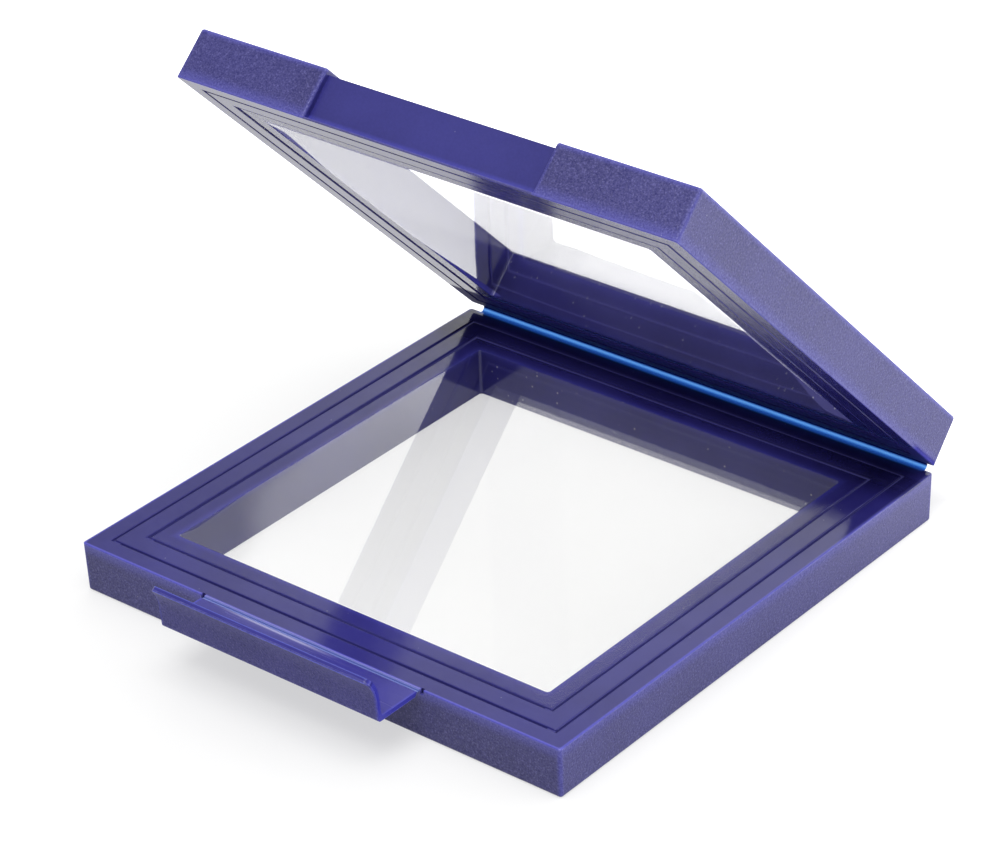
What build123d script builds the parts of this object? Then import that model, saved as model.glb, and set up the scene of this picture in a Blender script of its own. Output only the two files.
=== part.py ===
from build123d import *
import os
from math import sin, cos, tan, radians, degrees, atan2

os.makedirs("parts", exist_ok=True)

# A hinged window display box, standing open. Two square halves, each with a
# clear film stretched over its window, joined by a thin bending strip at the
# back and held shut by an L-shaped catch at the front.
# Frame: origin at the centre of the base's underside, +X to the right along
# the front edge, +Y from the catch towards the hinge, +Z up. Millimetres.

# ------------------------------------------------------------------ dimensions
mate_half = 55.1        # half side of each half at its mating face
face_half = 54.9        # half side at its outer face (moulding draft)
corner_r = 0.6          # upright corner edges
face_edge_r = 0.55      # outer walls into the outer face
mate_edge_r = 0.15      # outer walls into the mating face
groove_edge_r = 0.25    # edges of the clamp channel and of the ring in it
base_h = 10.0           # base height
shut_gap = 0.1          # between the mating faces when shut
lid_h = 9.9             # lid height
window_half = 42.8      # half side of the window
window_r = 0.6          # its corner radius
window_edge_r = 0.18    # its edge under the film
channel_in = 46.45      # half size of the clamp channel's inner wall
channel_out = 51.42     # half size of the clamp channel's outer wall
channel_depth = 7.6
film_t = 0.15           # stretched film, as a thin closed solid
ring_in = 46.98         # clamp ring, half size inside
ring_out = 50.98        # clamp ring, half size outside
ring_down = 0.02        # ring top below the mating face
ring_wall = 0.9         # legs of the ring's inverted U
ring_top = 1.2          # its top
pad_len = 1.7           # locating pads at the ends of the front bar

hinge_y = 56.6          # lid hinge axis, behind the back wall
hinge_z = 10.05
open_deg = 45.46        # how far the lid stands open
web_half = 52.8         # bending strip, half length
web_t = 0.3
web_run = 3.0           # its length from wall to wall
web_off = 0.4           # its middle below (base) and above (lid) the axis height

latch_half = 24.9       # catch, half width
latch_y = -55.55        # catch hinge axis
latch_z = 9.8
latch_web_z = 9.75      # middle of its bending strip
shelf_in = -56.0        # shelf, inner end
shelf_out = -65.9       # outer side of the catch's bend
shelf_bot = 9.05
shelf_topz = 10.0
panel_t = 1.0
panel_lean = 4.5        # degrees outward
lip_start_z = 13.5      # where the thumb lip starts to curl
lip_end = (-68.2, 17.9)
lip_corner_r = 1.1
bend_r = 0.8
bead_along = 3.0        # snap bead, distance up the panel
bead_r = 0.35
bead_half = 15.0
latch_shut = 90 + panel_lean    # degrees from rest to shut

recess_half = 25.2      # clearance for the catch in the lid
recess_y = -53.7        # floor of the front recess
flange_top = 10.5       # thin flange left at the lid's mating edge
pocket_z = 19.1         # floor of the pocket in the lid's outer face
pocket_y = -46.4        # its inner end
notch_w, notch_d, notch_h = 0.8, 0.6, 1.0   # reliefs at the catch hinge ends

lid_z0 = base_h + shut_gap          # lid mating face, shut
lid_z1 = lid_z0 + lid_h             # lid outer face, shut
th = radians(open_deg)


def opened(y, z):
    """Where a point of the shut lid stands with the lid open."""
    dy, dz = y - hinge_y, z - hinge_z
    return hinge_y + dy * cos(th) + dz * sin(th), hinge_z - dy * sin(th) + dz * cos(th)


# inner corner of the catch, and where its bead lies on the lid when shut
lean = radians(panel_lean)
in_foot = (shelf_out + panel_t / cos(lean) - (shelf_topz - shelf_bot) * tan(lean), shelf_topz)
bead_shut_y = (
    latch_y
    + (in_foot[0] - latch_y) * cos(radians(latch_shut))
    + (in_foot[1] - latch_z) * sin(radians(latch_shut))
    + bead_along
)

# The lid is drawn in the shut position's coordinates, on a plane that carries
# them to the open position.
oy, oz = opened(0, 0)
lid_plane = Plane(origin=(0, oy, oz), x_dir=(1, 0, 0), z_dir=(0, sin(th), cos(th)))
side_plane = Plane.YZ               # sketch X is +Y, sketch Y is +Z


def local(edge):
    """Middle of an edge in the shut lid's coordinates."""
    return lid_plane.to_local_coords(edge.center())


def on_square(point, half):
    """Whether a point lies above the outline of a square of this half size."""
    return abs(max(abs(point.X), abs(point.Y)) - half) < 0.01


# ------------------------------------------------------------------ base frame
with BuildPart() as base_frame:
    with BuildSketch(Plane.XY):
        RectangleRounded(2 * face_half, 2 * face_half, corner_r)
    with BuildSketch(Plane.XY.offset(base_h)):
        RectangleRounded(2 * mate_half, 2 * mate_half, corner_r)
    loft(ruled=True)
    fillet(base_frame.faces().sort_by(Axis.Z)[0].edges(), face_edge_r)
    # window, right through
    with BuildSketch(Plane.XY):
        RectangleRounded(2 * window_half, 2 * window_half, window_r)
    extrude(amount=base_h, mode=Mode.SUBTRACT)
    fillet(
        base_frame.faces().sort_by(Axis.Z)[0].inner_wires()[0].edges(), 0.35
    )
    # small rounding along the mating face's outer edge
    fillet(base_frame.faces().sort_by(Axis.Z)[-1].outer_wire().edges(), mate_edge_r)
    # channel for the clamp ring
    with BuildSketch(Plane.XY.offset(base_h)):
        Rectangle(2 * channel_out, 2 * channel_out)
        Rectangle(2 * channel_in, 2 * channel_in, mode=Mode.SUBTRACT)
    extrude(amount=-channel_depth, mode=Mode.SUBTRACT)
    # the inner wall stops one film thickness lower
    with BuildSketch(Plane.XY.offset(base_h)):
        Rectangle(2 * channel_in, 2 * channel_in)
    extrude(amount=-film_t, mode=Mode.SUBTRACT)
    # soft edges at the channel's mouth and along the film's support
    fillet(
        [
            e
            for e in base_frame.edges()
            if (on_square(e.center(), channel_out) and abs(e.center().Z - base_h) < 0.01)
            or (on_square(e.center(), channel_in) and abs(e.center().Z - base_h + film_t) < 0.01)
        ],
        groove_edge_r,
    )
    fillet(
        [
            e
            for e in base_frame.edges()
            if max(abs(e.center().X), abs(e.center().Y)) < window_half + 0.1
            and abs(e.center().Z - base_h + film_t) < 0.01
        ],
        window_edge_r,
    )
    # reliefs at both ends of the catch's bending strip
    with BuildSketch(Plane.XY.offset(base_h)):
        with Locations(
            (-latch_half - notch_w / 2, -mate_half), (latch_half + notch_w / 2, -mate_half)
        ):
            Rectangle(notch_w, 2 * notch_d)
    extrude(amount=-notch_h, mode=Mode.SUBTRACT)

base_frame.part.label = "base_frame"
export_step(base_frame.part, "parts/base_frame.step")

# ------------------------------------------------------------------- lid frame
with BuildPart() as lid_frame:
    with BuildSketch(lid_plane.offset(lid_z0)):
        RectangleRounded(2 * mate_half, 2 * mate_half, corner_r)
    with BuildSketch(lid_plane.offset(lid_z1)):
        RectangleRounded(2 * face_half, 2 * face_half, corner_r)
    loft(ruled=True)
    fillet([e for e in lid_frame.edges() if local(e).Z > lid_z1 - 0.01], face_edge_r)
    with BuildSketch(lid_plane.offset(lid_z0)):
        RectangleRounded(2 * window_half, 2 * window_half, window_r)
    extrude(amount=lid_h, mode=Mode.SUBTRACT)
    fillet(
        [
            e
            for e in lid_frame.edges()
            if local(e).Z > lid_z1 - 0.01
            and max(abs(local(e).X), abs(local(e).Y)) < window_half + 0.1
        ],
        0.35,
    )
    fillet(
        [
            e
            for e in lid_frame.edges()
            if local(e).Z < lid_z0 + 0.01
            and max(abs(local(e).X), abs(local(e).Y)) > mate_half - corner_r
        ],
        mate_edge_r,
    )
    with BuildSketch(lid_plane.offset(lid_z0)):
        Rectangle(2 * channel_out, 2 * channel_out)
        Rectangle(2 * channel_in, 2 * channel_in, mode=Mode.SUBTRACT)
    extrude(amount=channel_depth, mode=Mode.SUBTRACT)
    with BuildSketch(lid_plane.offset(lid_z0)):
        Rectangle(2 * channel_in, 2 * channel_in)
    extrude(amount=film_t, mode=Mode.SUBTRACT)
    fillet(
        [
            e
            for e in lid_frame.edges()
            if (on_square(local(e), channel_out) and abs(local(e).Z - lid_z0) < 0.01)
            or (on_square(local(e), channel_in) and abs(local(e).Z - lid_z0 - film_t) < 0.01)
        ],
        groove_edge_r,
    )
    fillet(
        [
            e
            for e in lid_frame.edges()
            if max(abs(local(e).X), abs(local(e).Y)) < window_half + 0.1
            and abs(local(e).Z - lid_z0 - film_t) < 0.01
        ],
        window_edge_r,
    )
    # front recess for the catch's shelf, above a thin flange
    with BuildSketch(lid_plane.offset(flange_top)):
        with Locations((0, recess_y - 2)):
            Rectangle(2 * recess_half, 4)
    extrude(amount=lid_z1 - flange_top + 1, mode=Mode.SUBTRACT)
    # pocket in the outer face for the catch's panel
    with BuildSketch(lid_plane.offset(pocket_z)):
        with Locations((0, (pocket_y - mate_half - 3) / 2)):
            Rectangle(2 * recess_half, mate_half + 3 + pocket_y)
    extrude(amount=lid_z1 - pocket_z + 1, mode=Mode.SUBTRACT)
    # softened upper ends of the pocket
    fillet(
        [
            e
            for e in lid_frame.edges()
            if abs(abs(local(e).X) - recess_half) < 0.01
            and abs(local(e).Z - lid_z1) < 0.01
            and local(e).Y < pocket_y
        ],
        0.5,
    )
    # groove that the snap bead drops into
    with BuildSketch(lid_plane.offset(pocket_z)):
        with Locations((0, bead_shut_y)):
            Rectangle(2 * bead_half + 1.2, 1.4)
    extrude(amount=-0.35, mode=Mode.SUBTRACT)

lid_frame.part.label = "lid_frame"
export_step(lid_frame.part, "parts/lid_frame.step")


# ------------------------------------------------------- clamp rings and films
def front_pads(y_out, y_in, sunk=0.1):
    """Centres and sizes of the four locating pads on the front bar."""
    return [
        (s * (ring_out - pad_len / 2), -(ring_out - sunk + y_out) / 2, pad_len, y_out - ring_out + sunk)
        for s in (-1, 1)
    ] + [
        (s * (ring_in - pad_len / 2), -(ring_in + sunk + y_in) / 2, pad_len, ring_in + sunk - y_in)
        for s in (-1, 1)
    ]


pads = front_pads(channel_out - 0.02, channel_in + film_t + 0.02)
ring_low = base_h - channel_depth + film_t      # ring's feet stand on the film
ring_high = base_h - ring_down

with BuildPart() as base_clamp_ring:
    with BuildSketch(Plane.XY.offset(ring_low)):
        RectangleRounded(2 * ring_out, 2 * ring_out, 0.5)
        Rectangle(2 * ring_in, 2 * ring_in, mode=Mode.SUBTRACT)
    extrude(amount=ring_high - ring_low)
    fillet(base_clamp_ring.faces().sort_by(Axis.Z)[-1].edges(), groove_edge_r)
    with BuildSketch(Plane.XY.offset(ring_low)):
        Rectangle(2 * (ring_out - ring_wall), 2 * (ring_out - ring_wall))
        Rectangle(2 * (ring_in + ring_wall), 2 * (ring_in + ring_wall), mode=Mode.SUBTRACT)
    extrude(amount=ring_high - ring_top - ring_low, mode=Mode.SUBTRACT)
    for px, py, pw, ph in pads:
        with BuildSketch(Plane.XY.offset(ring_low + 1.0)):
            with Locations((px, py)):
                Rectangle(pw, ph)
        extrude(amount=ring_high - ring_low - 1.2)

base_clamp_ring.part.label = "base_clamp_ring"
export_step(base_clamp_ring.part, "parts/base_clamp_ring.step")

lid_ring_low = lid_z0 + ring_down
lid_ring_high = lid_z0 + channel_depth - film_t

with BuildPart() as lid_clamp_ring:
    with BuildSketch(lid_plane.offset(lid_ring_low)):
        RectangleRounded(2 * ring_out, 2 * ring_out, 0.5)
        Rectangle(2 * ring_in, 2 * ring_in, mode=Mode.SUBTRACT)
    extrude(amount=lid_ring_high - lid_ring_low)
    fillet([e for e in lid_clamp_ring.edges() if local(e).Z < lid_ring_low + 0.01], groove_edge_r)
    with BuildSketch(lid_plane.offset(lid_ring_high)):
        Rectangle(2 * (ring_out - ring_wall), 2 * (ring_out - ring_wall))
        Rectangle(2 * (ring_in + ring_wall), 2 * (ring_in + ring_wall), mode=Mode.SUBTRACT)
    extrude(amount=-(lid_ring_high - lid_ring_low - ring_top), mode=Mode.SUBTRACT)
    for px, py, pw, ph in pads:
        with BuildSketch(lid_plane.offset(lid_ring_low + 0.2)):
            with Locations((px, py)):
                Rectangle(pw, ph)
        extrude(amount=lid_ring_high - lid_ring_low - 1.2)

lid_clamp_ring.part.label = "lid_clamp_ring"
export_step(lid_clamp_ring.part, "parts/lid_clamp_ring.step")

# Each film lies on the inner wall, turns down its outside and runs under the
# ring, which holds it there.
with BuildPart() as base_support:
    with BuildSketch(Plane.XY.offset(base_h - channel_depth)):
        Rectangle(2 * channel_in, 2 * channel_in)
    extrude(amount=channel_depth - film_t)
    fillet(base_support.faces().sort_by(Axis.Z)[-1].edges(), groove_edge_r)

with BuildPart() as base_membrane:
    with BuildSketch(Plane.XY.offset(base_h - channel_depth)):
        Rectangle(2 * (channel_in + film_t), 2 * (channel_in + film_t))
    extrude(amount=channel_depth)
    fillet(base_membrane.faces().sort_by(Axis.Z)[-1].edges(), groove_edge_r + film_t)
    add(base_support.part, mode=Mode.SUBTRACT)
    with BuildSketch(Plane.XY.offset(base_h - channel_depth)):
        Rectangle(2 * ring_out, 2 * ring_out)
        Rectangle(2 * channel_in, 2 * channel_in, mode=Mode.SUBTRACT)
    extrude(amount=film_t)

base_membrane.part.label = "base_membrane"
export_step(base_membrane.part, "parts/base_membrane.step")

with BuildPart() as lid_support:
    with BuildSketch(lid_plane.offset(lid_z0 + film_t)):
        Rectangle(2 * channel_in, 2 * channel_in)
    extrude(amount=channel_depth - film_t)
    fillet([e for e in lid_support.edges() if local(e).Z < lid_z0 + film_t + 0.01], groove_edge_r)

with BuildPart() as lid_membrane:
    with BuildSketch(lid_plane.offset(lid_z0)):
        Rectangle(2 * (channel_in + film_t), 2 * (channel_in + film_t))
    extrude(amount=channel_depth)
    fillet([e for e in lid_membrane.edges() if local(e).Z < lid_z0 + 0.01], groove_edge_r + film_t)
    add(lid_support.part, mode=Mode.SUBTRACT)
    with BuildSketch(lid_plane.offset(lid_z0 + channel_depth - film_t)):
        Rectangle(2 * ring_out, 2 * ring_out)
        Rectangle(2 * channel_in, 2 * channel_in, mode=Mode.SUBTRACT)
    extrude(amount=film_t)

lid_membrane.part.label = "lid_membrane"
export_step(lid_membrane.part, "parts/lid_membrane.step")

# ------------------------------------------------------------------- lid hinge
# The bending strip runs from the base's back wall to the lid's in an arc of
# its own length, bowed out behind the box.
p0 = (mate_half + 0.08, hinge_z - web_off)
p1 = opened(mate_half + 0.08, hinge_z + web_off)
chord = ((p1[0] - p0[0]) ** 2 + (p1[1] - p0[1]) ** 2) ** 0.5
low_a, high_a = 0.05, 3.0
for _ in range(60):
    half_turn = (low_a + high_a) / 2
    if sin(half_turn) / half_turn > chord / web_run:
        low_a = half_turn
    else:
        high_a = half_turn
web_r = web_run / (2 * half_turn)
ux, uz = (p1[0] - p0[0]) / chord, (p1[1] - p0[1]) / chord   # along the chord
nx, nz = uz, -ux                                            # outward from it
mid = ((p0[0] + p1[0]) / 2, (p0[1] + p1[1]) / 2)
cen = (mid[0] - nx * web_r * cos(half_turn), mid[1] - nz * web_r * cos(half_turn))


def on_arc(r, k):
    """Point of the strip's section at radius r, k from -1 (base) to 1 (lid)."""
    a = k * half_turn
    return (
        cen[0] + r * (nx * cos(a) + ux * sin(a)),
        cen[1] + r * (nz * cos(a) + uz * sin(a)),
    )


with BuildPart() as hinge_web:
    with BuildSketch(side_plane.offset(-web_half)):
        with BuildLine():
            ThreePointArc(
                on_arc(web_r + web_t / 2, -1), on_arc(web_r + web_t / 2, 0), on_arc(web_r + web_t / 2, 1)
            )
            Line(on_arc(web_r + web_t / 2, 1), on_arc(web_r - web_t / 2, 1))
            ThreePointArc(
                on_arc(web_r - web_t / 2, 1), on_arc(web_r - web_t / 2, 0), on_arc(web_r - web_t / 2, -1)
            )
            Line(on_arc(web_r - web_t / 2, -1), on_arc(web_r + web_t / 2, -1))
        make_face()
    extrude(amount=2 * web_half)

hinge_web.part.label = "hinge_web"
export_step(hinge_web.part, "parts/hinge_web.step")

# ----------------------------------------------------------------------- catch
lip0 = (shelf_out - (lip_start_z - shelf_bot) * tan(lean), lip_start_z)
cx, cz = lip_end[0] - lip0[0], lip_end[1] - lip0[1]
lip_chord = (cx**2 + cz**2) ** 0.5
chord_lean = atan2(-cx, cz)
end_lean = 2 * chord_lean - lean
lip_r = lip_chord / (2 * sin((end_lean - lean) / 2))
lip_c = (lip0[0] - lip_r * cos(lean), lip0[1] - lip_r * sin(lean))


def lip(r, a):
    return lip_c[0] + r * cos(a), lip_c[1] + r * sin(a)


mid_lean = (lean + end_lean) / 2

with BuildPart() as latch_flap:
    with BuildSketch(side_plane.offset(-latch_half)):
        with BuildLine():
            Polyline(
                (shelf_in, shelf_topz),
                (shelf_in, shelf_bot + 0.55),
                (shelf_in - 0.5, shelf_bot),
                (shelf_out, shelf_bot),
                lip0,
            )
            ThreePointArc(lip0, lip(lip_r, mid_lean), lip_end)
            Line(lip_end, lip(lip_r + panel_t, end_lean))
            ThreePointArc(
                lip(lip_r + panel_t, end_lean),
                lip(lip_r + panel_t, mid_lean),
                lip(lip_r + panel_t, lean),
            )
            Polyline(lip(lip_r + panel_t, lean), in_foot, (shelf_in, shelf_topz))
        make_face()
    extrude(amount=2 * latch_half)
    # outer and inner side of the bend
    fillet(
        [
            e
            for e in latch_flap.edges().filter_by(Axis.X)
            if abs(e.center().Y - shelf_out) < 0.01 and abs(e.center().Z - shelf_bot) < 0.01
        ],
        bend_r,
    )
    fillet(
        [
            e
            for e in latch_flap.edges().filter_by(Axis.X)
            if abs(e.center().Y - in_foot[0]) < 0.01 and abs(e.center().Z - shelf_topz) < 0.01
        ],
        0.35,
    )
    # rounded corners of the thumb lip
    fillet(
        [
            e
            for e in latch_flap.edges()
            if abs(abs(e.center().X) - latch_half) < 0.01
            and e.length < panel_t + 0.05
            and e.center().Z > lip_end[1] - 0.1
        ],
        lip_corner_r,
    )
    # snap bead across the inside of the panel
    bx = in_foot[0] - bead_along * sin(lean) - 0.05 * cos(lean)
    bz = in_foot[1] + bead_along * cos(lean) - 0.05 * sin(lean)
    with BuildSketch(side_plane.offset(-bead_half)):
        with Locations((bx, bz)):
            Circle(bead_r)
    extrude(amount=2 * bead_half)

latch_flap.part.label = "latch_flap"
export_step(latch_flap.part, "parts/latch_flap.step")

with BuildPart() as latch_web:
    with BuildSketch(Plane.XY.offset(latch_web_z - web_t / 2)):
        with Locations((0, (shelf_in - mate_half) / 2)):
            Rectangle(2 * latch_half - 0.2, -shelf_in - mate_half - 0.04)
    extrude(amount=web_t)

latch_web.part.label = "latch_web"
export_step(latch_web.part, "parts/latch_web.step")

print("lid plane origin", round(oy, 4), round(oz, 4))
print("strip radius", round(web_r, 4), "half turn deg", round(degrees(half_turn), 2))
print("lip radius", round(lip_r, 3), "end lean deg", round(degrees(end_lean), 2))
print("snap groove at", round(bead_shut_y, 3))
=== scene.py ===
import math

import bmesh
import bpy
from mathutils import Matrix, Vector


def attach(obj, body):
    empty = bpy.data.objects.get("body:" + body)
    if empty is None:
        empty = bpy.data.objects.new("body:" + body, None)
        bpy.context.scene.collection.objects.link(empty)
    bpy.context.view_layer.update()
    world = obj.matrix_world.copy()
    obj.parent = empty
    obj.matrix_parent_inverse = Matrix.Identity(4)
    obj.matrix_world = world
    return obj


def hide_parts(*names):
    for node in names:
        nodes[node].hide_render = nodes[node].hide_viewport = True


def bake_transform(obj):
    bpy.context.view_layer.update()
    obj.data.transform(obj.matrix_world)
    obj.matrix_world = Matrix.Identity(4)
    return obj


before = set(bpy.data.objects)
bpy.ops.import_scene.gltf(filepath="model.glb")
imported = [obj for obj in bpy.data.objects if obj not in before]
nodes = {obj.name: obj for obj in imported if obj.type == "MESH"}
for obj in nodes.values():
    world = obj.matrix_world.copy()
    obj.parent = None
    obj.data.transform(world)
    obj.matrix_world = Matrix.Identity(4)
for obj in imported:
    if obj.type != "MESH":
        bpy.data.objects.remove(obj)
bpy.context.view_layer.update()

# The box stands open on a pale floor: two blue frames with stretched clear film,
# a bending strip at the back and a catch at the front. Lengths in metres.

scene = bpy.context.scene
MM = 0.001

# ------------------------------------------------------------- shared geometry
HINGE_Y, HINGE_Z = 56.6, 10.05          # lid hinge axis, mm
OPEN = math.radians(45.46)              # how far the lid stands open
MATE_BASE, MATE_LID = 10.0, 10.1        # heights of the two mating faces when shut
WINDOW = 42.8
WALL_OUT = 46.45                        # outer side of the wall the film lies on
FILM = 0.15


def opened(x, y, z):
    """Rest position, in metres, of a point given in the shut lid's millimetres."""
    dy, dz = y - HINGE_Y, z - HINGE_Z
    return Vector((
        x,
        HINGE_Y + dy * math.cos(OPEN) + dz * math.sin(OPEN),
        HINGE_Z - dy * math.sin(OPEN) + dz * math.cos(OPEN),
    )) * MM


def as_base(x, y, z):
    return Vector((x, y, z)) * MM


# ------------------------------------------------------------------ node maker
class Tree:
    """Short forms for building a material's nodes. Positions come in millimetres."""

    def __init__(self, name, lid=False):
        self.mat = bpy.data.materials.new(name)
        self.mat.use_nodes = True
        self.t = self.mat.node_tree
        self.t.nodes.clear()
        self.out = self.t.nodes.new("ShaderNodeOutputMaterial")
        tc = self.t.nodes.new("ShaderNodeTexCoord")
        mp = self.t.nodes.new("ShaderNodeMapping")
        mp.inputs["Scale"].default_value = (1000, 1000, 1000)
        if lid:
            # turn the open lid's coordinates back to the shut position
            c, s = math.cos(OPEN), math.sin(OPEN)
            mp.inputs["Rotation"].default_value = (OPEN, 0, 0)
            mp.inputs["Location"].default_value = (
                0,
                HINGE_Y - (HINGE_Y * c - HINGE_Z * s),
                HINGE_Z - (HINGE_Y * s + HINGE_Z * c),
            )
        self.t.links.new(tc.outputs["Object"], mp.inputs["Vector"])
        self.co = mp.outputs["Vector"]
        sep = self.t.nodes.new("ShaderNodeSeparateXYZ")
        self.t.links.new(self.co, sep.inputs[0])
        self.x, self.y, self.z = sep.outputs

    def put(self, socket, value):
        if isinstance(value, bpy.types.NodeSocket):
            self.t.links.new(value, socket)
        else:
            socket.default_value = value

    def m(self, op, a, b=0.0, c=0.0, clamp=False):
        n = self.t.nodes.new("ShaderNodeMath")
        n.operation = op
        n.use_clamp = clamp
        for socket, value in zip(n.inputs, (a, b, c)):
            self.put(socket, value)
        return n.outputs[0]

    def step(self, a, lo, hi):
        """0 below lo, 1 above hi, smooth between; lo may be above hi."""
        n = self.t.nodes.new("ShaderNodeMapRange")
        n.interpolation_type = "SMOOTHSTEP"
        flip = lo > hi
        if flip:
            lo, hi = hi, lo
        self.put(n.inputs["Value"], a)
        n.inputs["From Min"].default_value = lo
        n.inputs["From Max"].default_value = hi
        n.inputs["To Min"].default_value = 1 if flip else 0
        n.inputs["To Max"].default_value = 0 if flip else 1
        return n.outputs["Result"]

    def remap(self, a, lo, hi, to_lo, to_hi):
        n = self.t.nodes.new("ShaderNodeMapRange")
        self.put(n.inputs["Value"], a)
        for name, value in (("From Min", lo), ("From Max", hi), ("To Min", to_lo), ("To Max", to_hi)):
            n.inputs[name].default_value = value
        return n.outputs["Result"]

    def noise(self, scale, detail=2.0, rough=0.5, stretch=None, distortion=0.0, offset=(0, 0, 0)):
        n = self.t.nodes.new("ShaderNodeTexNoise")
        n.inputs["Scale"].default_value = scale
        n.inputs["Detail"].default_value = detail
        n.inputs["Roughness"].default_value = rough
        n.inputs["Distortion"].default_value = distortion
        mp = self.t.nodes.new("ShaderNodeMapping")
        mp.inputs["Scale"].default_value = stretch or (1, 1, 1)
        mp.inputs["Location"].default_value = offset
        self.t.links.new(self.co, mp.inputs["Vector"])
        self.t.links.new(mp.outputs["Vector"], n.inputs["Vector"])
        return n.outputs["Fac"]

    def specks(self, scale, size, share, offset=(0, 0, 0)):
        """Sparse tiny dots: 1 inside a dot. share is the part of the cells that hold one."""
        mp = self.t.nodes.new("ShaderNodeMapping")
        mp.inputs["Location"].default_value = offset
        self.t.links.new(self.co, mp.inputs["Vector"])
        v = self.t.nodes.new("ShaderNodeTexVoronoi")
        v.inputs["Scale"].default_value = scale
        self.t.links.new(mp.outputs["Vector"], v.inputs["Vector"])
        dot = self.step(v.outputs["Distance"], size, size * 0.4)
        sep = self.t.nodes.new("ShaderNodeSeparateColor")
        self.t.links.new(v.outputs["Color"], sep.inputs[0])
        pick = self.m("LESS_THAN", sep.outputs[0], share)
        return self.m("MULTIPLY", dot, pick)

    def mix(self, f, a, b):
        n = self.t.nodes.new("ShaderNodeMix")
        n.data_type = "RGBA"
        self.put(n.inputs["Factor"], f)
        self.put(n.inputs["A"], a)
        self.put(n.inputs["B"], b)
        return n.outputs["Result"]

    def bump(self, height, distance, strength=1.0, normal=None):
        n = self.t.nodes.new("ShaderNodeBump")
        n.inputs["Strength"].default_value = strength
        n.inputs["Distance"].default_value = distance
        self.put(n.inputs["Height"], height)
        if normal is not None:
            self.put(n.inputs["Normal"], normal)
        return n.outputs["Normal"]

    def principled(self, **sockets):
        n = self.t.nodes.new("ShaderNodeBsdfPrincipled")
        for name, value in sockets.items():
            self.put(n.inputs[name.replace("_", " ")], value)
        return n

    def finish(self, shader):
        self.t.links.new(shader, self.out.inputs["Surface"])
        return self.mat


BODY = (0.022, 0.020, 0.140, 1)     # blue-violet plastic, lit face
DEEP = (0.016, 0.014, 0.112, 1)
GLOW = (0.050, 0.050, 0.330, 1)     # light gathered in thin edges
DUST = (0.35, 0.35, 0.42, 1)


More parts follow.
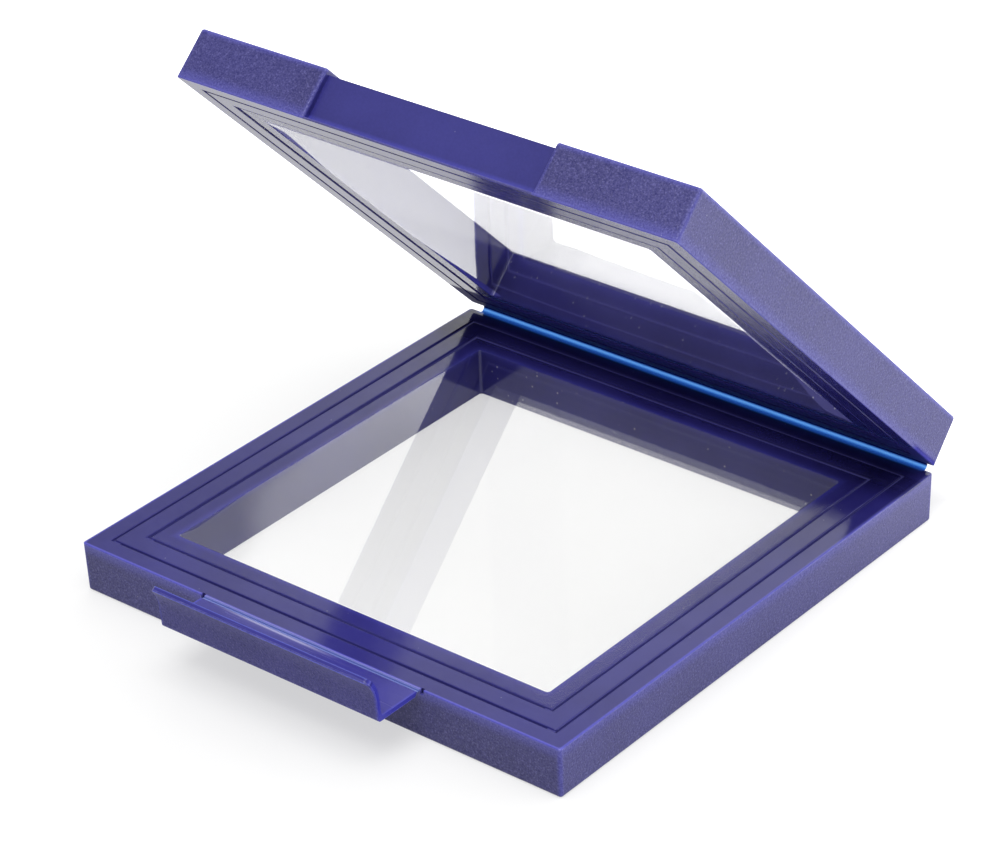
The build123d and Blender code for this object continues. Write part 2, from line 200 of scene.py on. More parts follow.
def plastic(name, lid=False):
    """Frame plastic: fine moulded grain outside, glossy inside and on the mating face."""
    t = Tree(name, lid)
    ax, ay = t.m("ABSOLUTE", t.x), t.m("ABSOLUTE", t.y)
    big, small = t.m("MAXIMUM", ax, ay), t.m("MINIMUM", ax, ay)
    if lid:
        d = t.m("SUBTRACT", t.z, MATE_LID)
    else:
        d = t.m("SUBTRACT", MATE_BASE, t.z)
    wall = t.m("MULTIPLY", t.step(big, 54.35, 54.7), t.step(d, 0.04, 0.22))
    face = t.step(d, 9.45, 9.75)
    grained = t.m("MAXIMUM", wall, face)
    rec = 0.0
    if lid:
        # the catch's recess and pocket are smoother
        rec = t.m("MULTIPLY", t.step(ax, 25.5, 25.1), t.step(t.y, -46.0, -46.8))
        rec = t.m("MULTIPLY", rec, t.step(d, 0.25, 0.45))
        grained = t.m("MULTIPLY", grained, t.m("SUBTRACT", 1.0, t.m("MULTIPLY", rec, 0.8)))
    # colour: cloudy depth, fine mottling, glow along the edges
    cloud = t.noise(0.06, 3.0, 0.55)
    fine = t.noise(2.1, 3.0, 0.65)
    col = t.mix(t.step(cloud, 0.3, 0.7), DEEP, BODY)
    edge_top = t.m("MAXIMUM", t.step(d, 0.9, 0.2), t.m("MULTIPLY", t.step(d, 2.8, 0.3), 0.6))
    edge_top = t.m("MULTIPLY", edge_top, t.step(big, 54.5, 54.9))
    corner = t.m("MULTIPLY", t.step(small, 53.9, 54.9), t.step(big, 54.3, 54.7))
    glow = t.m("MAXIMUM", t.m("MULTIPLY", edge_top, 0.85 if lid else 1.0), t.m("MULTIPLY", corner, 0.5 if lid else 0.8))
    if lid:
        far = t.m("MULTIPLY", t.step(d, 8.6, 9.7), t.step(big, 54.0, 54.6))
        glow = t.m("MAXIMUM", glow, t.m("MULTIPLY", far, 0.8))
        ends = t.m("SUBTRACT", 1.0, t.step(t.m("ABSOLUTE", t.m("SUBTRACT", ax, 25.5)), 0.1, 0.7))
        ends = t.m("MULTIPLY", ends, t.step(t.y, -54.3, -54.7))
        glow = t.m("MAXIMUM", glow, t.m("MULTIPLY", ends, 0.5))
        # the thin flange under the recess stays dark
        flange = t.m("MULTIPLY", t.step(ax, 25.3, 25.1), t.step(d, 0.45, 0.35))
        flange = t.m("MULTIPLY", flange, t.step(t.y, -52.0, -53.0))
        glow = t.m("MULTIPLY", glow, t.m("SUBTRACT", 1.0, flange))
        low = t.m("MULTIPLY", rec, t.m("MULTIPLY", t.step(d, 2.0, 0.6), 0.8))
        glow = t.m("MAXIMUM", glow, t.m("MAXIMUM", low, t.m("MULTIPLY", rec, 0.22)))
        # painted highlight: a pale, broken line along the back window edge of the outer face, where that edge catches
        # the light
        painted_window_glint = t.m("MULTIPLY", t.step(d, 9.45, 9.8), t.step(big, 43.35, 43.0))
        painted_window_glint = t.m("MULTIPLY", painted_window_glint, t.m("MULTIPLY", t.step(t.y, 41.5, 42.4), t.step(t.x, -18.0, -30.0)))
        painted_window_glint = t.m("MULTIPLY", painted_window_glint, t.step(t.noise(0.9, 3.0, 0.7), 0.35, 0.6))
    lip = t.m("MULTIPLY", t.step(d, 1.4, 0.1), t.step(big, 44.4, 42.9))
    glow = t.m("MAXIMUM", glow, t.m("MULTIPLY", lip, 0.35))
    glow = t.m("MULTIPLY", glow, t.remap(fine, 0.3, 0.7, 0.7, 1.1), clamp=True)
    col = t.mix(glow, col, GLOW)
    mottle = t.m("MULTIPLY", t.step(fine, 0.35, 0.75), t.remap(grained, 0, 1, 0.06, 0.42))
    col = t.mix(mottle, col, (0.05, 0.045, 0.20, 1))
    pepper = t.noise(2.9, 2.5, 0.6, offset=(5, 2, 9))
    light_grain = t.m("MULTIPLY", t.step(pepper, 0.52, 0.70), grained)
    dark_grain = t.m("MULTIPLY", t.step(pepper, 0.48, 0.34), grained)
    col = t.mix(t.m("MULTIPLY", light_grain, 0.42), col, (0.075, 0.066, 0.30, 1))
    col = t.mix(t.m("MULTIPLY", dark_grain, 0.36), col, (0.008, 0.007, 0.07, 1))
    dust = t.m("MAXIMUM", t.specks(0.13, 0.02, 0.35, offset=(3.1, 7.7, 1.3)),
               t.m("MULTIPLY", t.specks(0.34, 0.050, 0.4, offset=(1.7, 4.1, 6.3)), 0.45))
    col = t.mix(t.m("MULTIPLY", dust, 0.8), col, DUST)
    inner = t.m("MULTIPLY", t.step(big, 44.2, 43.6), t.step(d, 0.3, 0.8))
    motes = t.m("MULTIPLY", t.specks(0.8, 0.22, 0.2, offset=(2.3, 9.1, 4.7)), inner)
    col = t.mix(t.m("MULTIPLY", motes, 0.5), col, DUST)
    if lid:
        # paint the highlight along the back window edge
        col = t.mix(t.m("MULTIPLY", painted_window_glint, 0.8), col, (0.45, 0.45, 0.55, 1))
        # painted sheen: a faint grey veil on the wall by the hinge stands in for its reflection
        col = t.mix(t.m("MULTIPLY", t.m("MULTIPLY", inner, t.step(t.y, 40.0, 42.0)), 0.10), col, (0.13, 0.13, 0.18, 1))
    if not lid:
        # painted sheen: the right outer side is lightened toward the back, standing in for its reflection of the bright
        # floor
        painted_side_sheen = t.m("MULTIPLY", t.step(t.x, 54.3, 54.6), t.step(t.y, 5.0, 56.0))
        col = t.mix(t.m("MULTIPLY", painted_side_sheen, 0.22), col, (0.14, 0.135, 0.30, 1))
        # painted highlight: a pale line along the front top edge, where the catch's strip joins it
        painted_front_glint = t.m("MULTIPLY", t.step(t.y, -54.75, -54.95), t.m("MULTIPLY", t.step(d, 0.3, 0.1), t.step(ax, 25.0, 24.7)))
        col = t.mix(t.m("MULTIPLY", painted_front_glint, 0.3), col, (0.30, 0.30, 0.50, 1))
        # the back rail lies deep in the lid's shade
        deep = t.m("MULTIPLY", t.step(t.y, 41.0, 47.0), t.step(d, 0.6, 0.2))
        deep = t.m("MULTIPLY", deep, t.remap(t.step(t.y, 50.8, 51.6), 0, 1, 1.0, 0.55))
        col = t.mix(t.m("MULTIPLY", deep, 0.62), col, (0.006, 0.005, 0.035, 1))
    # shade in the mouths of the grooves
    mouth = t.m("MAXIMUM", t.step(t.m("ABSOLUTE", t.m("SUBTRACT", big, 46.7)), 0.62, 0.36),
                t.step(t.m("ABSOLUTE", t.m("SUBTRACT", big, 51.2)), 0.56, 0.30))
    mouth = t.m("MULTIPLY", mouth, t.step(d, 0.5, 0.1))
    mouth = t.m("MULTIPLY", mouth, t.m("ADD", 0.6, t.m("MULTIPLY", t.step(t.y, 32.0, 44.0), 0.34)))
    # finish
    streak = t.noise(0.5, 3.0, 0.6)
    gloss_rough = t.remap(streak, 0.3, 0.7, 0.09, 0.15)
    if lid:
        gloss_rough = t.m("ADD", gloss_rough, t.m("MULTIPLY", rec, 0.22))
    grain_rough = t.remap(fine, 0.3, 0.7, 0.46, 0.58)
    r = t.t.nodes.new("ShaderNodeMix")
    t.put(r.inputs["Factor"], grained)
    t.put(r.inputs["A"], gloss_rough)
    t.put(r.inputs["B"], grain_rough)
    rough = r.outputs["Result"]
    g1 = t.noise(2.6, 3.0, 0.6, offset=(11, 3, 5))
    g2 = t.noise(0.9, 2.0, 0.5, offset=(1, 8, 2))
    grain = t.m("ADD", t.m("MULTIPLY", g1, 0.65), t.m("MULTIPLY", g2, 0.35))
    height = t.m("MULTIPLY", grain, t.m("MAXIMUM", grained, 0.008))
    wave = t.noise(0.045, 2.0, 0.5)
    n1 = t.bump(wave, 0.00006, 0.5)
    n2 = t.bump(height, 0.00014, 1.0, n1)
    # light carried through the plastic keeps the grooves from going black
    groove = t.m("MULTIPLY", t.step(big, 46.2, 46.4), t.step(big, 51.6, 51.4))
    groove = t.m("MULTIPLY", groove, t.m("MULTIPLY", t.step(d, 0.12, 0.5), t.step(d, 8.3, 7.9)))
    p = t.principled(Base_Color=col, Roughness=rough, IOR=1.5, Normal=n2)
    spec = t.remap(grained, 0, 1, 0.5, 0.58)
    spec = t.m("MULTIPLY", spec, t.m("SUBTRACT", 1.0, mouth))
    sparkle = t.m("SUBTRACT", t.m("MULTIPLY", light_grain, 0.6), t.m("MULTIPLY", dark_grain, 0.38))
    spec = t.m("MULTIPLY", spec, t.m("ADD", 1.0, sparkle))
    if lid:
        spec = t.m("MULTIPLY", spec, t.m("SUBTRACT", 1.0, t.m("MULTIPLY", rec, 0.15)))
    if lid:
        # painted shade: beside the hinge, where the two rails all but meet, the reflection is turned down and the
        # finish made rougher
        painted_hinge_shade = t.step(t.y, 43.4, 46.0)
        painted_hinge_shade = t.m("MULTIPLY", painted_hinge_shade, t.step(d, 1.2, 0.5))
        spec = t.m("MULTIPLY", spec, t.m("SUBTRACT", 1.0, t.m("MULTIPLY", painted_hinge_shade, 0.97)))
        rough = t.m("MAXIMUM", rough, t.m("MULTIPLY", painted_hinge_shade, 0.45))
        t.put(p.inputs["Roughness"], rough)
    t.put(p.inputs["Specular IOR Level"], spec)
    # the strip's blue light spreads a little way into the plastic beside it
    spill = t.m("MAXIMUM", t.step(t.y, 54.0, 55.3), t.m("MULTIPLY", t.step(t.y, 52.2, 54.6), 0.035))
    spill = t.m("MULTIPLY", spill, t.step(ax, 53.6, 52.4))
    if lid:
        spill = t.m("MULTIPLY", spill, t.m("MULTIPLY", t.step(d, 3.0, 0.0), 0.04))
    else:
        spill = t.m("MULTIPLY", spill, t.step(d, 3.0, 0.0))
    lit_edge = t.m("ADD", t.m("MULTIPLY", t.m("MULTIPLY", edge_top, t.step(t.y, -53.5, -54.5)), 0.075),
                   t.m("MULTIPLY", corner, 0.02))
    violet = t.m("ADD", t.m("MULTIPLY", groove, 0.075), lit_edge)
    total = t.m("ADD", violet, t.m("MULTIPLY", spill, 0.30))
    part = t.m("DIVIDE", t.m("MULTIPLY", spill, 0.30), t.m("MAXIMUM", total, 0.0001))
    t.put(p.inputs["Emission Color"], t.mix(part, (0.32, 0.31, 1.0, 1), (0.03, 0.22, 1.0, 1)))
    t.put(p.inputs["Emission Strength"], total)
    return t.finish(p.outputs[0])


LIP_R, LIP_LEAN = 7.245, math.radians(43.3)      # curl of the catch's thumb lip
LIP_C = (-68.2 - LIP_R * math.cos(LIP_LEAN), 17.9 - LIP_R * math.sin(LIP_LEAN))


def catch_plastic(name):
    """The catch: thin, so painted a little lighter for the light that comes through it, with painted glow on its edges,
    highlight lines on the lip and shade under it; grained outside, streaky gloss inside.
    """
    t = Tree(name)
    ax = t.m("ABSOLUTE", t.x)
    # outside is the front and underside: y below a line that follows the panel
    front = t.m("ADD", t.y, t.m("MULTIPLY", t.m("SUBTRACT", t.z, 9.05), 0.0787))
    lip = t.m("MAXIMUM", t.m("SUBTRACT", t.z, 13.5), 0.0)
    front = t.m("ADD", front, t.m("MULTIPLY", t.m("MULTIPLY", lip, lip), 0.076))
    outside = t.step(front, -65.45, -65.75)
    under = t.step(t.z, 9.2, 9.1)
    grained = t.m("MAXIMUM", outside, under)
    cloud = t.noise(0.09, 3.0, 0.55)
    fine = t.noise(1.9, 3.0, 0.65)
    col = t.mix(t.step(cloud, 0.3, 0.7), (0.020, 0.018, 0.160, 1), (0.027, 0.024, 0.195, 1))
    # painted glow along the catch's thin side edges, its bend and the lip's end
    edge = t.step(ax, 24.3, 24.85)
    bend = t.m("MULTIPLY", t.step(t.y, -65.0, -65.7), t.step(t.z, 9.9, 9.2))
    edge = t.m("MAXIMUM", edge, t.m("MULTIPLY", bend, 0.6))
    # the lip: how far through its thickness, and how near its end
    qy, qz = t.m("SUBTRACT", t.y, LIP_C[0]), t.m("SUBTRACT", t.z, LIP_C[1])
    rr = t.m("SQRT", t.m("ADD", t.m("MULTIPLY", qy, qy), t.m("MULTIPLY", qz, qz)))
    rr = t.m("SUBTRACT", rr, LIP_R)
    near = t.m("ADD", t.m("MULTIPLY", t.m("SUBTRACT", t.y, -68.2), -math.sin(LIP_LEAN)),
               t.m("MULTIPLY", t.m("SUBTRACT", t.z, 17.9), math.cos(LIP_LEAN)))
    tip = t.step(near, -0.9, -0.1)
    # painted highlight lines along both edges of the lip's end
    rim_line = t.m("MAXIMUM", t.step(rr, 0.2, 0.05), t.step(rr, 0.8, 0.95))
    rim_line = t.m("MULTIPLY", rim_line, t.step(near, -0.22, -0.08))
    edge = t.m("MAXIMUM", edge, t.m("MULTIPLY", tip, 0.15))
    col = t.mix(edge, col, (0.034, 0.034, 0.30, 1))
    col = t.mix(t.m("MULTIPLY", rim_line, 0.75), col, (0.10, 0.12, 0.50, 1))
    # painted shade under the lip's curl
    under_lip = t.m("MULTIPLY", t.step(near, -1.5, -1.2), t.step(near, -0.75, -1.0))
    col = t.mix(t.m("MULTIPLY", under_lip, 0.5), col, (0.010, 0.009, 0.08, 1))
    # painted highlight: a pale streak on the shelf beside the bending strip, where the flexed shelf catches the light
    painted_glint_y = t.m("SUBTRACT", -56.06, t.m("MULTIPLY", t.m("ADD", t.x, 21.0), 0.012))
    painted_glint = t.step(t.m("ABSOLUTE", t.m("SUBTRACT", t.y, painted_glint_y)), 0.52, 0.04)
    painted_glint = t.m("MAXIMUM", painted_glint, t.m("MULTIPLY", t.step(t.y, -57.6, -56.1), 0.15))
    painted_glint = t.m("MULTIPLY", painted_glint, t.step(t.z, 9.8, 9.95))
    span = t.m("MULTIPLY", t.step(t.x, -23.0, -11.0), t.step(t.x, 9.0, -3.0))
    col = t.mix(t.m("MULTIPLY", t.m("MULTIPLY", painted_glint, span), 0.5), col, (0.42, 0.42, 0.62, 1))
    mottle = t.m("MULTIPLY", t.step(fine, 0.35, 0.75), t.remap(grained, 0, 1, 0.05, 0.42))
    col = t.mix(mottle, col, (0.05, 0.045, 0.20, 1))
    pepper = t.noise(2.9, 2.5, 0.6, offset=(5, 2, 9))
    light_grain = t.m("MULTIPLY", t.step(pepper, 0.52, 0.70), grained)
    dark_grain = t.m("MULTIPLY", t.step(pepper, 0.48, 0.34), grained)
    col = t.mix(t.m("MULTIPLY", light_grain, 0.42), col, (0.075, 0.066, 0.32, 1))
    col = t.mix(t.m("MULTIPLY", dark_grain, 0.36), col, (0.008, 0.007, 0.07, 1))
    streak = t.noise(1.2, 4.0, 0.6, stretch=(0.06, 1.6, 1.6))
    line = t.m("MULTIPLY", t.step(streak, 0.55, 0.72), t.m("SUBTRACT", 1.0, grained))
    col = t.mix(t.m("MULTIPLY", line, 0.35), col, (0.06, 0.055, 0.24, 1))
    r = t.t.nodes.new("ShaderNodeMix")
    t.put(r.inputs["Factor"], grained)
    t.put(r.inputs["A"], t.remap(streak, 0.3, 0.7, 0.12, 0.3))
    t.put(r.inputs["B"], t.remap(fine, 0.3, 0.7, 0.46, 0.58))
    g1 = t.noise(2.6, 3.0, 0.6, offset=(11, 3, 5))
    grain = t.m("ADD", t.m("MULTIPLY", g1, grained), t.m("MULTIPLY", streak, t.m("SUBTRACT", 0.2, t.m("MULTIPLY", grained, 0.2))))
    p = t.principled(Base_Color=col, Roughness=r.outputs["Result"], IOR=1.5, Normal=t.bump(grain, 0.00014, 1.0))
    sparkle = t.m("SUBTRACT", t.m("MULTIPLY", light_grain, 0.6), t.m("MULTIPLY", dark_grain, 0.38))
    t.put(p.inputs["Specular IOR Level"], t.m("MULTIPLY", 0.45, t.m("ADD", 1.0, sparkle)))
    return t.finish(p.outputs[0])


def strip_plastic(name, stops, gloss=0.25, share=0.25):
    """Thin bending strip: light comes through it. stops: (position across, colour), colours that also paint light and
    shade across the strip.
    """
    t = Tree(name)
    uv = t.t.nodes.new("ShaderNodeUVMap")
    uv.uv_map = "across"
    sep = t.t.nodes.new("ShaderNodeSeparateXYZ")
    t.t.links.new(uv.outputs["UV"], sep.inputs[0])
    streak = t.noise(0.8, 3.0, 0.6, stretch=(0.08, 1, 1))
    ramp = t.t.nodes.new("ShaderNodeValToRGB")
    ramp.color_ramp.interpolation = "LINEAR"
    els = ramp.color_ramp.elements
    while len(els) < len(stops):
        els.new(0.5)
    for e, (pos, c) in zip(els, stops):
        e.position = pos
        e.color = (*c, 1)
    t.t.links.new(sep.outputs[1], ramp.inputs["Fac"])
    dim = t.m("SUBTRACT", 1.0, t.remap(streak, 0.35, 0.7, 0.94, 1.03), clamp=True)
    col = t.mix(dim, ramp.outputs["Color"], (0.01, 0.03, 0.2, 1))
    sq = t.t.nodes.new("ShaderNodeMix")
    sq.data_type = "RGBA"
    sq.blend_type = "MULTIPLY"
    sq.inputs["Factor"].default_value = 1.0
    t.put(sq.inputs["A"], col)
    t.put(sq.inputs["B"], col)
    tr = t.t.nodes.new("ShaderNodeBsdfTranslucent")
    t.put(tr.inputs["Color"], col)
    p = t.principled(
        Base_Color=sq.outputs["Result"], Roughness=gloss, IOR=1.5,
        Normal=t.bump(streak, 0.00003, 0.5),
    )
    p.inputs["Specular IOR Level"].default_value = 0.12
    mx = t.t.nodes.new("ShaderNodeMixShader")
    mx.inputs[0].default_value = share
    t.t.links.new(tr.outputs[0], mx.inputs[1])
    t.t.links.new(p.outputs[0], mx.inputs[2])
    return t.finish(mx.outputs[0])


def film_clear(name, contact, lid=False):
    """Stretched film: clear, with a mirror sheen that grows at a slant. Where it clings to the
    plastic there is no sheen: on the wall, and beside the side rails near the corners.
    contact: (width, length) of that strip at the front and at the back, in mm."""
    t = Tree(name, lid)
    ax, ay = t.m("ABSOLUTE", t.x), t.m("ABSOLUTE", t.y)
    big = t.m("MAXIMUM", ax, ay)
    lw = t.t.nodes.new("ShaderNodeLayerWeight")
    lw.inputs["Blend"].default_value = 0.5
    ripple = t.noise(0.05, 2.0, 0.5, distortion=0.3)
    scuff = t.noise(0.35, 4.0, 0.7, stretch=(1, 0.25, 1), distortion=1.5)
    nrm = t.bump(t.m("ADD", ripple, t.m("MULTIPLY", scuff, 0.01)), 0.00005, 0.12)
    f5 = t.m("POWER", lw.outputs["Facing"], 5.0)
    fres = t.m("ADD", t.m("MULTIPLY", f5, 0.90), 0.059)
    free = t.step(big, 42.95, 42.75)
    from_rail = t.m("SUBTRACT", WINDOW, ax)
    for sign, (width, length) in zip((-1, 1), contact):
        along = t.m("SUBTRACT", WINDOW, t.m("MULTIPLY", t.y, sign))
        grow = t.m("MULTIPLY", t.step(along, 0.0, 3.5), t.step(along, length, 3.0))
        reach = t.m("MULTIPLY", grow, width)
        clings = t.step(t.m("SUBTRACT", from_rail, reach), 0.06, -0.02)
        free = t.m("MULTIPLY", free, t.m("SUBTRACT", 1.0, clings))
    fac = t.m("MULTIPLY", fres, free, clamp=True)
    on_wall = t.m("MULTIPLY", t.step(big, 42.9, 43.1), t.step(big, 46.1, 45.9))
    fac = t.m("ADD", fac, t.m("MULTIPLY", t.m("MULTIPLY", on_wall, t.step(t.x, 30.0, 44.0)), 0.006))
    clear = t.t.nodes.new("ShaderNodeBsdfTransparent")
    haze = t.m("MULTIPLY", t.step(scuff, 0.62, 0.8), 0.02)
    t.put(clear.inputs["Color"], t.mix(haze, (0.994, 0.994, 0.992, 1), (0.8, 0.8, 0.8, 1)))
    gl = t.t.nodes.new("ShaderNodeBsdfGlossy")
    gl.inputs["Color"].default_value = (1, 1, 1, 1)
    t.put(gl.inputs["Roughness"], t.remap(scuff, 0.4, 0.8, 0.014, 0.022))
    t.put(gl.inputs["Normal"], nrm)
    mx = t.t.nodes.new("ShaderNodeMixShader")
    t.put(mx.inputs[0], fac)
    t.t.links.new(clear.outputs[0], mx.inputs[1])
    t.t.links.new(gl.outputs[0], mx.inputs[2])
    if not lid:
        return t.finish(mx.outputs[0])
    # where the lid's film leaves its right rail a fine crease catches the light
    crease = t.step(t.m("ABSOLUTE", t.m("SUBTRACT", t.x, 42.84)), 0.10, 0.04)
    crease = t.m("MULTIPLY", crease, t.m("MULTIPLY", t.step(t.y, -25.0, -14.0), t.step(t.y, 34.0, 18.0)))
    crease = t.m("MULTIPLY", crease, t.remap(scuff, 0.3, 0.7, 0.6, 1.0), clamp=True)
    painted_glint = t.t.nodes.new("ShaderNodeBsdfDiffuse")
    painted_glint.inputs["Color"].default_value = (0.75, 0.75, 0.82, 1)
    top = t.t.nodes.new("ShaderNodeMixShader")
    t.put(top.inputs[0], crease)
    t.t.links.new(mx.outputs[0], top.inputs[1])
    t.t.links.new(painted_glint.outputs[0], top.inputs[2])
    return t.finish(top.outputs[0])


def give(obj, mat):
    obj.data.materials.clear()
    obj.data.materials.append(mat)


def mesh_object(name, verts, faces, smooth=True):
    me = bpy.data.meshes.new(name)
    me.from_pydata([tuple(v) for v in verts], [], faces)
    me.validate()
    bm = bmesh.new()
    bm.from_mesh(me)
    bmesh.ops.recalc_face_normals(bm, faces=bm.faces)
    bm.to_mesh(me)
    bm.free()
    for p in me.polygons:
        p.use_smooth = smooth
    o = bpy.data.objects.new(name, me)
    scene.collection.objects.link(o)
    return o


# ------------------------------------------------------------- frame materials
base_mat = plastic("frame_plastic_base")
lid_mat = plastic("frame_plastic_lid", lid=True)
give(nodes["base_frame"], base_mat)
give(nodes["base_clamp_ring"], plastic("ring_plastic_base"))
give(nodes["lid_frame"], lid_mat)
give(nodes["lid_clamp_ring"], plastic("ring_plastic_lid", lid=True))
give(nodes["latch_flap"], catch_plastic("catch_plastic"))


# ----------------------------------------------------------------------- films
EDGE = 46.2                             # where the film starts to turn down
FOOT, DEPTH = 50.9, 7.59


def ease(v):
    v = min(max(v, 0.0), 1.0)
    return v * v * (3 - 2 * v)


def build_film(name, place, mate, up, dips, body, node, mat):
    """One film: over the wall, down its outside and under the ring. up is +1 on the base,
    -1 on the lid (the way out of the mating face). dips: how deep it sinks beside the side
    rails at the front and back corners, and over what length."""
    fine = [-WINDOW + 2 * WINDOW * (0.5 - 0.5 * math.cos(math.pi * i / 60)) for i in range(61)]
    inner = [c * (WINDOW - 0.05) / WINDOW for c in fine]
    us = [-EDGE, -44.5, -WINDOW - 0.16] + inner + [WINDOW + 0.16, 44.5, EDGE]
    n = len(us)

    def height(x, y):
        ax, ay = abs(x), abs(y)
        if max(ax, ay) > WINDOW:
            return 0.0
        depth, length = dips[0] if y < 0 else dips[1]
        return -depth * ease(1 - (WINDOW - ax) / 25) * ease(1 - (WINDOW - ay) / length)

    verts, faces = [], []

    def sheet_at(drop):
        ids = {}
        for i, x in enumerate(us):
            for j, y in enumerate(us):
                ids[i, j] = len(verts)
                verts.append(place(x, y, mate + up * (height(x, y) - drop)))
        return ids

    top, low = sheet_at(0.0), sheet_at(FILM - 0.012)
    for i in range(n - 1):
        for j in range(n - 1):
            faces.append((top[i, j], top[i + 1, j], top[i + 1, j + 1], top[i, j + 1]))
            faces.append((low[i, j], low[i, j + 1], low[i + 1, j + 1], low[i + 1, j]))
    # the square's outline, in order round it
    rim = (
        [(i, 0) for i in range(n - 1)]
        + [(n - 1, j) for j in range(n - 1)]
        + [(i, n - 1) for i in range(n - 1, 0, -1)]
        + [(0, j) for j in range(n - 1, 0, -1)]
    )

    def ring_of(half, drop):
        ids = []
        for i, j in rim:
            ids.append(len(verts))
            verts.append(place(us[i] * half / EDGE, us[j] * half / EDGE, mate - up * drop))
        return ids

    loops = [[top[k] for k in rim]]
    for a in (18, 36, 54, 72, 90):
        c, q = math.cos(math.radians(a)), math.sin(math.radians(a))
        loops.append(ring_of(EDGE + 0.4 * q, 0.4 * (1 - c)))
    loops.append(ring_of(WALL_OUT + FILM, DEPTH - FILM))
    loops.append(ring_of(FOOT, DEPTH - FILM))
    loops.append(ring_of(FOOT, DEPTH))
    loops.append(ring_of(WALL_OUT + 0.012, DEPTH))
    for a in (90, 60, 30):
        c, q = math.cos(math.radians(a)), math.sin(math.radians(a))
        loops.append(ring_of(EDGE + 0.262 * q, 0.4 - 0.262 * c))
    loops.append([low[k] for k in rim])
    m = len(rim)
    for a, b in zip(loops, loops[1:]):
        for k in range(m):
            faces.append((a[k], b[k], b[(k + 1) % m], a[(k + 1) % m]))
    o = mesh_object(name, verts, faces)
    bm = bmesh.new()
    bm.from_mesh(o.data)
    for e in bm.edges:
        if len(e.link_faces) == 2 and e.calc_face_angle(0) > math.radians(40):
            e.smooth = False
    bm.to_mesh(o.data)
    bm.free()
    give(o, mat)
    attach(o, body)
    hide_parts(node)
    return o


base_film = build_film(
    "base_film", as_base, MATE_BASE, 1, ((0.08, 30), (0.05, 30)), "base", "base_membrane",
    film_clear("film_base", ((0.9, 20), (0.2, 12))),
)
lid_film = build_film(
    "lid_film", opened, MATE_LID, -1, ((0.06, 30), (0.08, 34)), "lid", "lid_membrane",
    film_clear("film_lid", ((2.6, 26), (4.6, 34)), lid=True),
)


# ------------------------------------------------------------ bending strips
def swept(name, profile, x0, x1, across):
    """Closed thin solid: a closed profile of (y, z, position across) swept along x, in mm."""
    xs = [x0 + (x1 - x0) * i / across for i in range(across + 1)]
    verts, faces = [], []
    m = len(profile)
    for x in xs:
        for y, z, _ in profile:
            verts.append(Vector((x, y, z)) * MM)
    for i in range(across):
        for k in range(m):
            a, b = i * m + k, i * m + (k + 1) % m
            faces.append((a, b, b + m, a + m))
    faces.append(tuple(range(m)))
    faces.append(tuple(across * m + k for k in reversed(range(m))))
    o = mesh_object(name, verts, faces)
    bm = bmesh.new()
    bm.from_mesh(o.data)
    for e in bm.edges:
        if len(e.link_faces) == 2 and e.calc_face_angle(0) > math.radians(45):
            e.smooth = False
    bm.to_mesh(o.data)
    bm.free()
    layer = o.data.uv_layers.new(name="across")
    for loop in o.data.loops:
        i, k = divmod(loop.vertex_index, m)
        layer.data[loop.index].uv = (i / across, profile[k][2])
    return o


def shut(y, z):
    v = opened(0, y, z) / MM
    return v.y, v.z


p0, p1 = (55.18, 9.65), shut(55.18, 10.45)
chord = math.dist(p0, p1)
run = 3.0
lo_a, hi_a = 0.05, 3.0
for _ in range(60):
    half = (lo_a + hi_a) / 2
    if math.sin(half) / half > chord / run:
        lo_a = half
    else:
        hi_a = half
rad = run / (2 * half)
ux, uz = (p1[0] - p0[0]) / chord, (p1[1] - p0[1]) / chord
nx, nz = uz, -ux
mid = ((p0[0] + p1[0]) / 2, (p0[1] + p1[1]) / 2)
cen = (mid[0] - nx * rad * math.cos(half), mid[1] - nz * rad * math.cos(half))


def arc(r, k):
    a = k * half
    return (
        cen[0] + r * (nx * math.cos(a) + ux * math.sin(a)),
        cen[1] + r * (nz * math.cos(a) + uz * math.sin(a)),
    )


def thick(k):
    """The strip is thinnest in the middle of its run and fuller where it joins the walls."""
    return 0.125 + 0.025 * abs(k) ** 3


ks = [-1 + 2 * i / 22 for i in range(23)]
web_profile = [arc(rad + thick(k), k) + (0.5 + k / 2,) for k in ks]
web_profile += [arc(rad - thick(k), k) + (0.5 + k / 2,) for k in reversed(ks)]
web = swept("hinge_strip", web_profile, -52.8, 52.8, 40)
# the stops give the thin strip its lighter see-through blue and paint the light through it as a bright band, with
# painted shade toward the lid side
give(web, strip_plastic("strip_plastic", (
    (0.00, (0.10, 0.27, 0.62)),
    (0.14, (0.14, 0.35, 0.74)),
    (0.25, (0.21, 0.47, 0.86)),
    (0.34, (0.34, 0.62, 0.97)),
    (0.42, (0.43, 0.71, 1.00)),
    (0.48, (0.30, 0.55, 0.88)),
    (0.55, (0.09, 0.18, 0.46)),
    (0.61, (0.01, 0.02, 0.12)),
)))
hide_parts("hinge_web")
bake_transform(web)

# the catch's strip: a shallow groove above, thinner in the middle
ys = [-55.11 - 0.88 * i / 10 for i in range(11)]
top_side = [(y, 9.90 - 0.10 * math.sin(math.pi * i / 10), i / 10) for i, y in enumerate(ys)]
low_side = [(y, 9.60 + 0.03 * math.sin(math.pi * i / 10), i / 10) for i, y in enumerate(ys)]
latch_strip = swept("catch_strip", top_side + low_side[::-1], -24.8, 24.8, 20)
# the stops paint highlight lines near the strip's base side and in its middle, with painted shade between them and at
# the shelf side
give(latch_strip, strip_plastic("catch_strip_plastic", (
    (0.00, (0.48, 0.54, 0.80)),
    (0.14, (0.34, 0.39, 0.66)),
    (0.30, (0.24, 0.27, 0.55)),
    (0.50, (0.45, 0.51, 0.77)),
    (0.68, (0.42, 0.46, 0.72)),
    (0.90, (0.19, 0.20, 0.48)),
), 0.15, 0.6))
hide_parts("latch_web")
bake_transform(latch_strip)

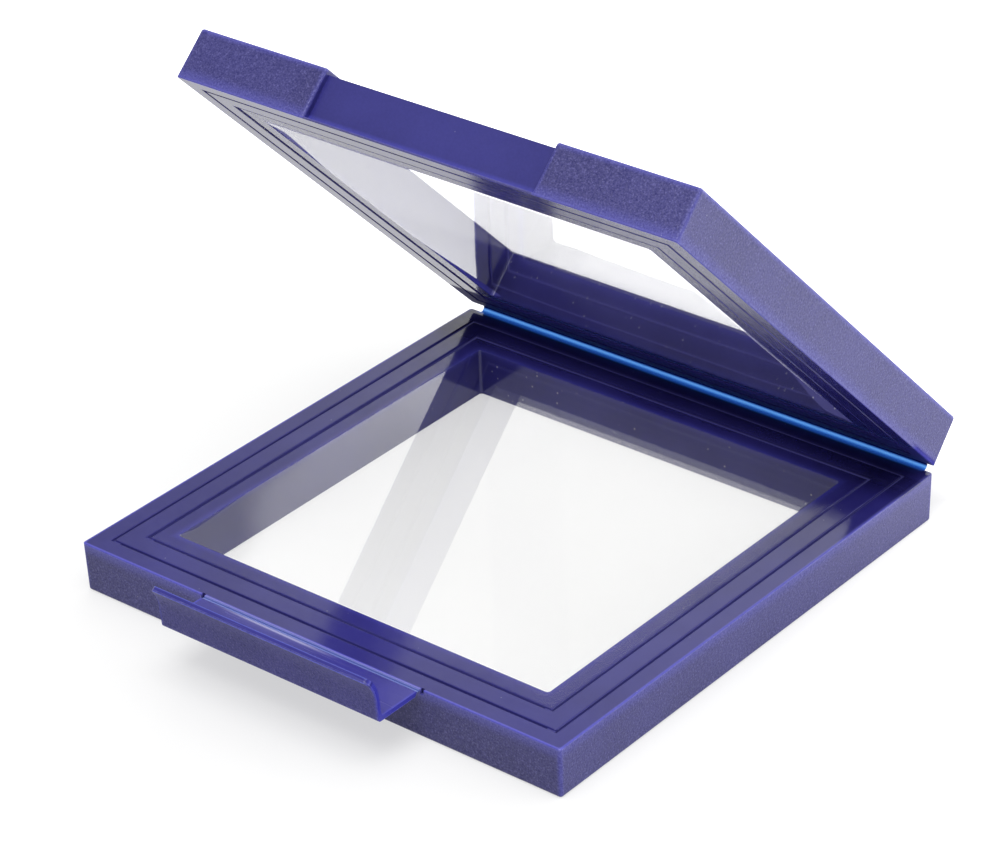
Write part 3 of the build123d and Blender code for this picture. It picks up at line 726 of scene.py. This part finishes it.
# ------------------------------------------------------------------- the floor
floor_v = [Vector((x, y, -0.00005)) for x, y in ((-4, -4), (4, -4), (4, 4), (-4, 4))]
floor = mesh_object("floor", floor_v, [(0, 1, 2, 3)])
ft = Tree("floor_paint")
fn = ft.noise(0.004, 2.0, 0.5)
fp = ft.principled(
    Base_Color=ft.mix(fn, (0.26, 0.26, 0.26, 1), (0.28, 0.28, 0.278, 1)),
    Roughness=0.6,
)
fp.inputs["Specular IOR Level"].default_value = 0.2
# a light-table floor: an even glow that keeps shadows faint, stronger to the back right
along = ft.m("ADD", ft.m("MULTIPLY", ft.x, 0.72), ft.m("MULTIPLY", ft.y, 0.69))
lift = ft.m("MULTIPLY", ft.step(ft.x, 50.0, 68.0), ft.step(along, 20.0, 120.0))
rear = ft.m("MULTIPLY", ft.step(ft.y, 58.0, 92.0), 0.86)
lift = ft.m("MAXIMUM", ft.m("MULTIPLY", lift, 0.78), rear)
fp.inputs["Emission Color"].default_value = (1.0, 1.0, 0.998, 1)
ft.put(fp.inputs["Emission Strength"], ft.m("ADD", 0.60, lift))
give(floor, ft.finish(fp.outputs[0]))

# ------------------------------------------------------------------ the lights
world = bpy.data.worlds.new("studio")
scene.world = world
world.use_nodes = True
wt = world.node_tree
wt.nodes.clear()


def wm(op, a, b=0.0, c=0.0):
    n = wt.nodes.new("ShaderNodeMath")
    n.operation = op
    for socket, value in zip(n.inputs, (a, b, c)):
        if isinstance(value, bpy.types.NodeSocket):
            wt.links.new(value, socket)
        else:
            socket.default_value = value
    return n.outputs[0]


def wstep(a, lo, hi, to_lo=0.0, to_hi=1.0, smooth=True):
    n = wt.nodes.new("ShaderNodeMapRange")
    n.interpolation_type = "SMOOTHSTEP" if smooth else "LINEAR"
    wt.links.new(a, n.inputs["Value"])
    for key, value in (("From Min", lo), ("From Max", hi), ("To Min", to_lo), ("To Max", to_hi)):
        n.inputs[key].default_value = value
    return n.outputs["Result"]


# a white studio: bright backdrop, brighter low down, its left edge behind the
# box on the left, and a darker room in front
wc = wt.nodes.new("ShaderNodeTexCoord")
wsep = wt.nodes.new("ShaderNodeSeparateXYZ")
wt.links.new(wc.outputs["Generated"], wsep.inputs[0])
wx, wy, wz = wsep.outputs
az_deg = wm("MULTIPLY", wm("ARCTAN2", wy, wx), 180 / math.pi)
el_deg = wm("MULTIPLY", wm("ARCSINE", wz), 180 / math.pi)
backdrop = wstep(el_deg, 28.5, 34.5, 1.65, 0.82, smooth=False)
backdrop = wm("ADD", backdrop, wstep(el_deg, 36.0, 50.0, 0.0, 0.45))
backdrop = wm("ADD", backdrop, wstep(el_deg, 28.9, 30.4, 0.32, 0.0))
backdrop = wm("MULTIPLY", backdrop, wstep(az_deg, 126.0, 133.0, 1.19, 0.96))
# left edge of the backdrop leans with height
edge = wm("ADD", 134.0, wm("MULTIPLY", wm("SUBTRACT", el_deg, 30.4), 1.2))
past = wm("SUBTRACT", az_deg, edge)
left = wm("MULTIPLY", wstep(past, -0.2, 0.5), wstep(el_deg, 60.0, 45.0))
backdrop = wm("MULTIPLY", backdrop, wm("SUBTRACT", 1.0, wm("MULTIPLY", left, 0.62)))
room = wstep(wz, 0.15, 0.65, 0.14, 0.55)
side = wstep(wy, -0.25, 0.2)
level = wm("ADD", wm("MULTIPLY", backdrop, side), wm("MULTIPLY", room, wm("SUBTRACT", 1.0, side)))
bg = wt.nodes.new("ShaderNodeBackground")
bg.inputs["Color"].default_value = (1.0, 1.0, 1.0, 1)
wt.links.new(level, bg.inputs["Strength"])
w_out = wt.nodes.new("ShaderNodeOutputWorld")
wt.links.new(bg.outputs[0], w_out.inputs["Surface"])


def softbox(name, where, at, size, power, colour=(1, 1, 1)):
    light = bpy.data.lights.new(name, "AREA")
    light.shape = "RECTANGLE"
    light.size, light.size_y = size
    light.energy = power
    light.color = colour
    o = bpy.data.objects.new(name, light)
    scene.collection.objects.link(o)
    o.location = where
    o.rotation_mode = "QUATERNION"
    o.rotation_quaternion = (Vector(at) - Vector(where)).to_track_quat("-Z", "Y")
    return o


softbox("top_light", (0.12, -0.30, 1.02), (0, 0, 0), (0.75, 0.75), 10.0)
softbox("right_light", (0.75, 0.65, 0.35), (0.15, 0.1, 0), (0.7, 0.5), 1.6)

# ------------------------------------------------------------------ the camera
AZ, EL, ROLL, DIST = math.radians(40.356), math.radians(29.856), math.radians(-2.251), 0.73474
TARGET = Vector((-0.032573, 0.036148, 0.0))
back = Vector((math.sin(AZ) * math.cos(EL), -math.cos(AZ) * math.cos(EL), math.sin(EL)))
right = Vector((math.cos(AZ), math.sin(AZ), 0))
up = back.cross(right)
right_r = math.cos(ROLL) * right + math.sin(ROLL) * up
up_r = -math.sin(ROLL) * right + math.cos(ROLL) * up
cam_data = bpy.data.cameras.new("camera")
cam = bpy.data.objects.new("camera", cam_data)
scene.collection.objects.link(cam)
cam.matrix_world = Matrix((
    (right_r.x, up_r.x, back.x, TARGET.x + back.x * DIST),
    (right_r.y, up_r.y, back.y, TARGET.y + back.y * DIST),
    (right_r.z, up_r.z, back.z, TARGET.z + back.z * DIST),
    (0, 0, 0, 1),
))
cam_data.sensor_width = 36
cam_data.lens = 3775.5 / 1000 * 36
cam_data.clip_start, cam_data.clip_end = 0.01, 50
scene.camera = cam

scene.view_settings.view_transform = "Standard"
scene.view_settings.look = "None"
scene.cycles.max_bounces = 12
scene.cycles.transparent_max_bounces = 16
scene.cycles.use_denoising = True
